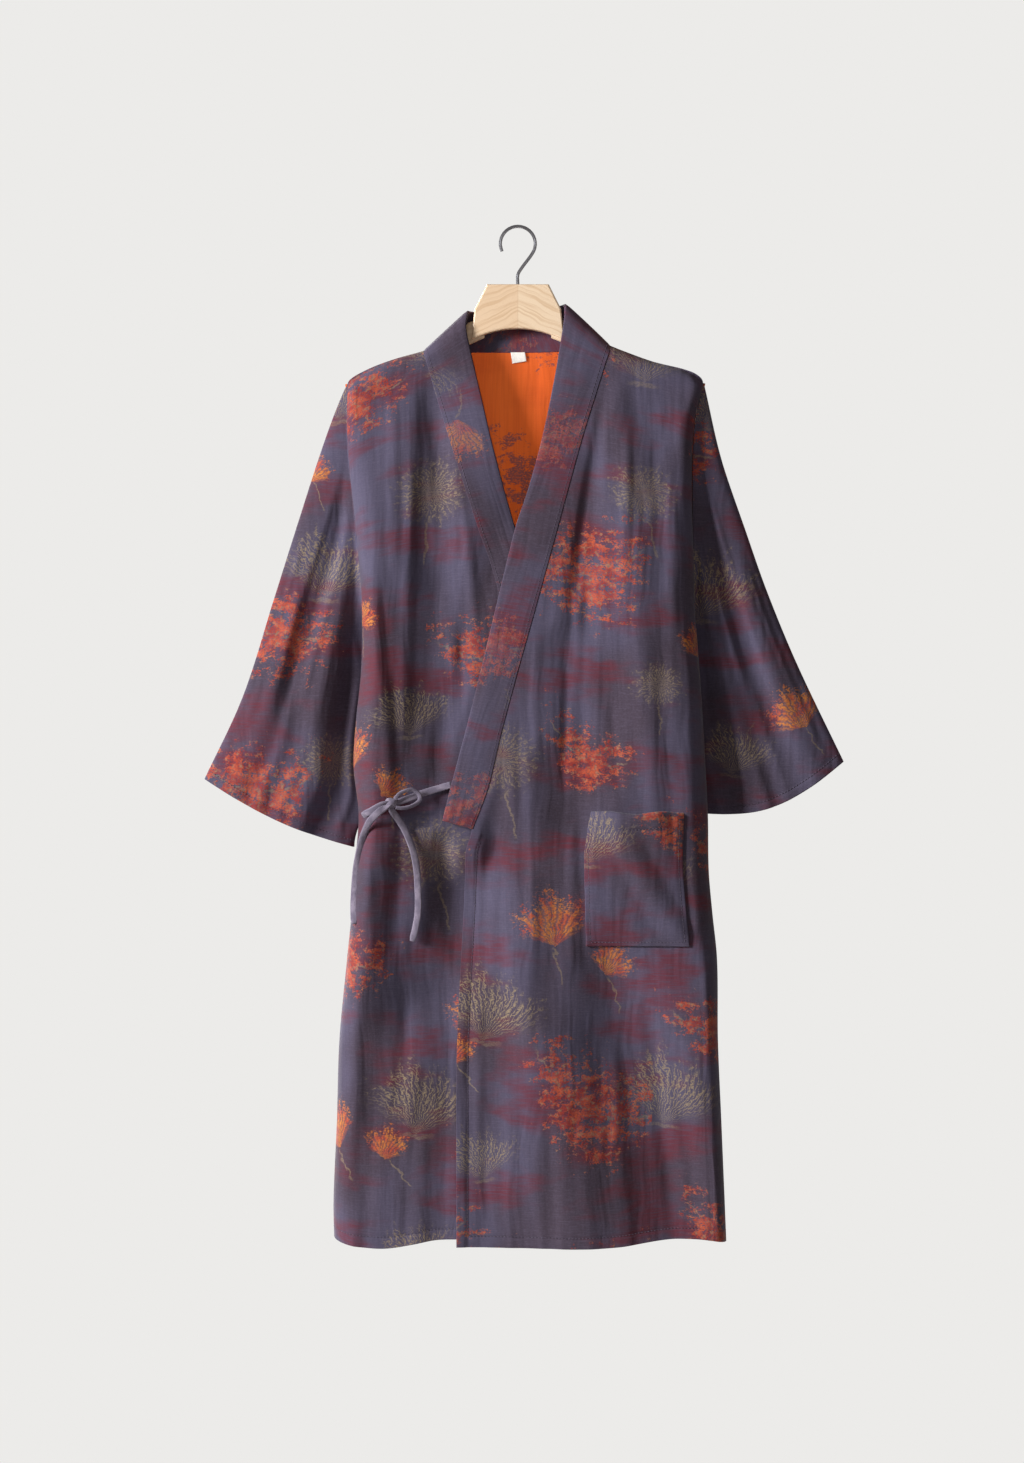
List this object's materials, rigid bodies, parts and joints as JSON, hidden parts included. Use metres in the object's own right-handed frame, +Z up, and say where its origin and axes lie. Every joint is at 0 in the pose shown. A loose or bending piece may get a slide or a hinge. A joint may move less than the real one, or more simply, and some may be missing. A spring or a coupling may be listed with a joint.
{
  "type": "kimono robe on a wooden hanger",
  "caption": "Knee-length kimono-style robe with wide three-quarter sleeves, wrap front, band collar, side tie and patch pocket, hanging on a wooden hanger with a steel hook.",
  "frame": {"origin": "inner top of the hanger's hook, where a rail bears", "axes": "+Z up along the hook's stem, the robe's front faces -Y, +X towards the wearer's left"},
  "size_m": [0.7726, 0.0966, 1.2217],
  "materials": {
    "robe_cloth": "slubby woven cotton in grey purple with scattered orange, red and khaki plant motifs",
    "collar_cloth": "the robe's cloth folded double",
    "tie_cloth": "narrow folded band of plain purple cloth",
    "label_cloth": "blank white woven label",
    "hanger_wood": "pale clear-lacquered wood",
    "hook_steel": "bright plated steel wire"
  },
  "bodies": {
    "root": {"front_left": "robe_cloth", "front_right": "robe_cloth", "back": "robe_cloth", "sleeve_right": "robe_cloth", "sleeve_left": "robe_cloth", "pocket": "robe_cloth", "collar": "collar_cloth", "neck_label": "label_cloth", "tie_knot": "tie_cloth", "tie_collar": "tie_cloth", "tie_side": "tie_cloth", "tie_loop": "tie_cloth", "tie_end_front": "tie_cloth", "tie_end_side": "tie_cloth", "hanger": "hanger_wood", "hanger_hook": "hook_steel"}
  },
  "joints": []
}
